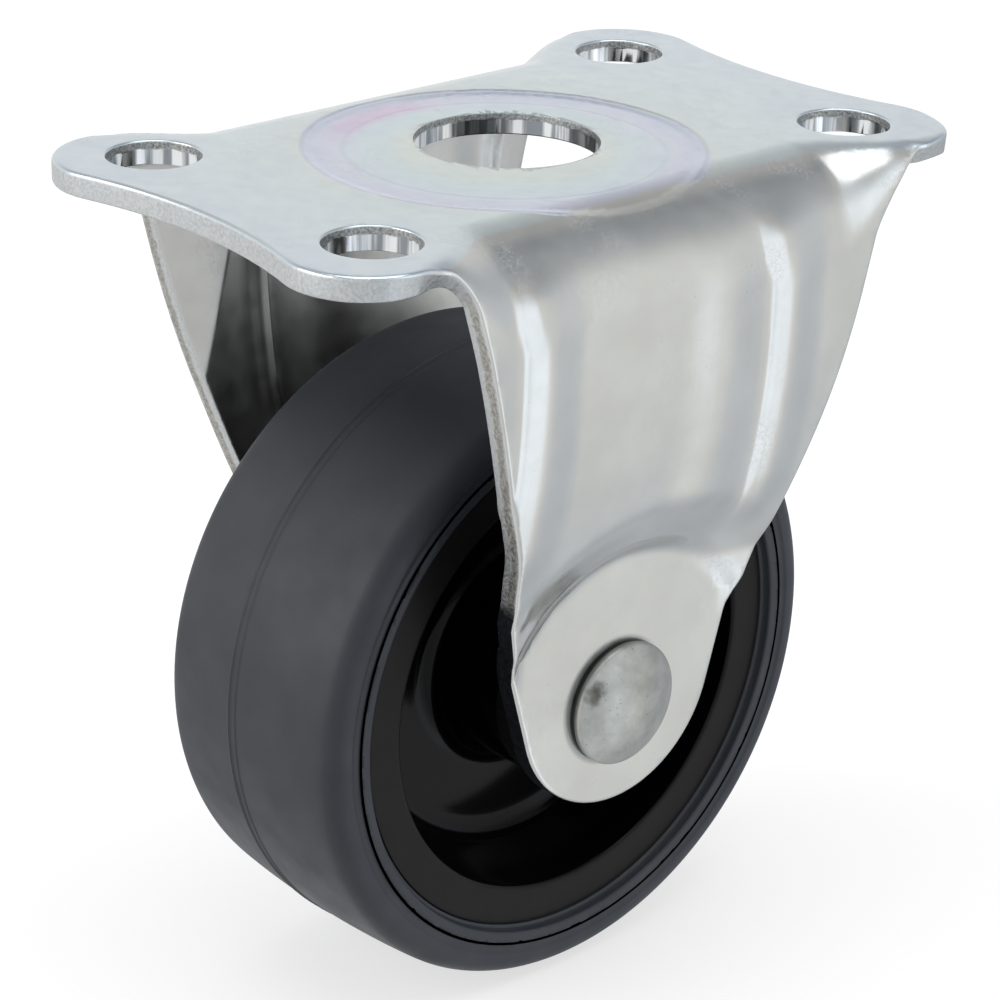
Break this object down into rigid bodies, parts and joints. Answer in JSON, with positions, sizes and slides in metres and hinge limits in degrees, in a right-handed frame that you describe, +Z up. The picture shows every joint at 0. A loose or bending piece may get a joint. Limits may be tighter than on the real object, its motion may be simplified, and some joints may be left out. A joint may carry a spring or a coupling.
{
  "type": "rigid plate castor",
  "caption": "Rigid castor: a pressed steel fork under a flat bolt-on plate, holding a plastic wheel with a rubber tyre on a riveted axle.",
  "frame": {"origin": "middle of the plate's bolt holes, on the plate's top face", "axes": "+Z up through the plate, towards what the castor is bolted to; Y along the axle; X the rolling direction"},
  "size_m": [0.0784, 0.0534, 0.0855],
  "materials": {
    "bracket": "bright zinc plating on pressed steel sheet",
    "rivet": "dull plated steel",
    "sleeve": "plain steel tube",
    "core": "black moulded plastic, glossy in the dish and duller on the rim",
    "tyre": "matt dark blue-grey rubber"
  },
  "bodies": {
    "bracket": {"bracket": "bracket", "axle_rivet": "rivet", "axle_sleeve": "sleeve"},
    "wheel": {"wheel_core": "core", "tyre": "tyre"}
  },
  "joints": [
    {"name": "wheel_spin", "type": "hinge", "parent": "bracket", "child": "wheel", "pos_m": [0, 0, -0.053], "axis": [0, 1, 0], "continuous": true}
  ]
}
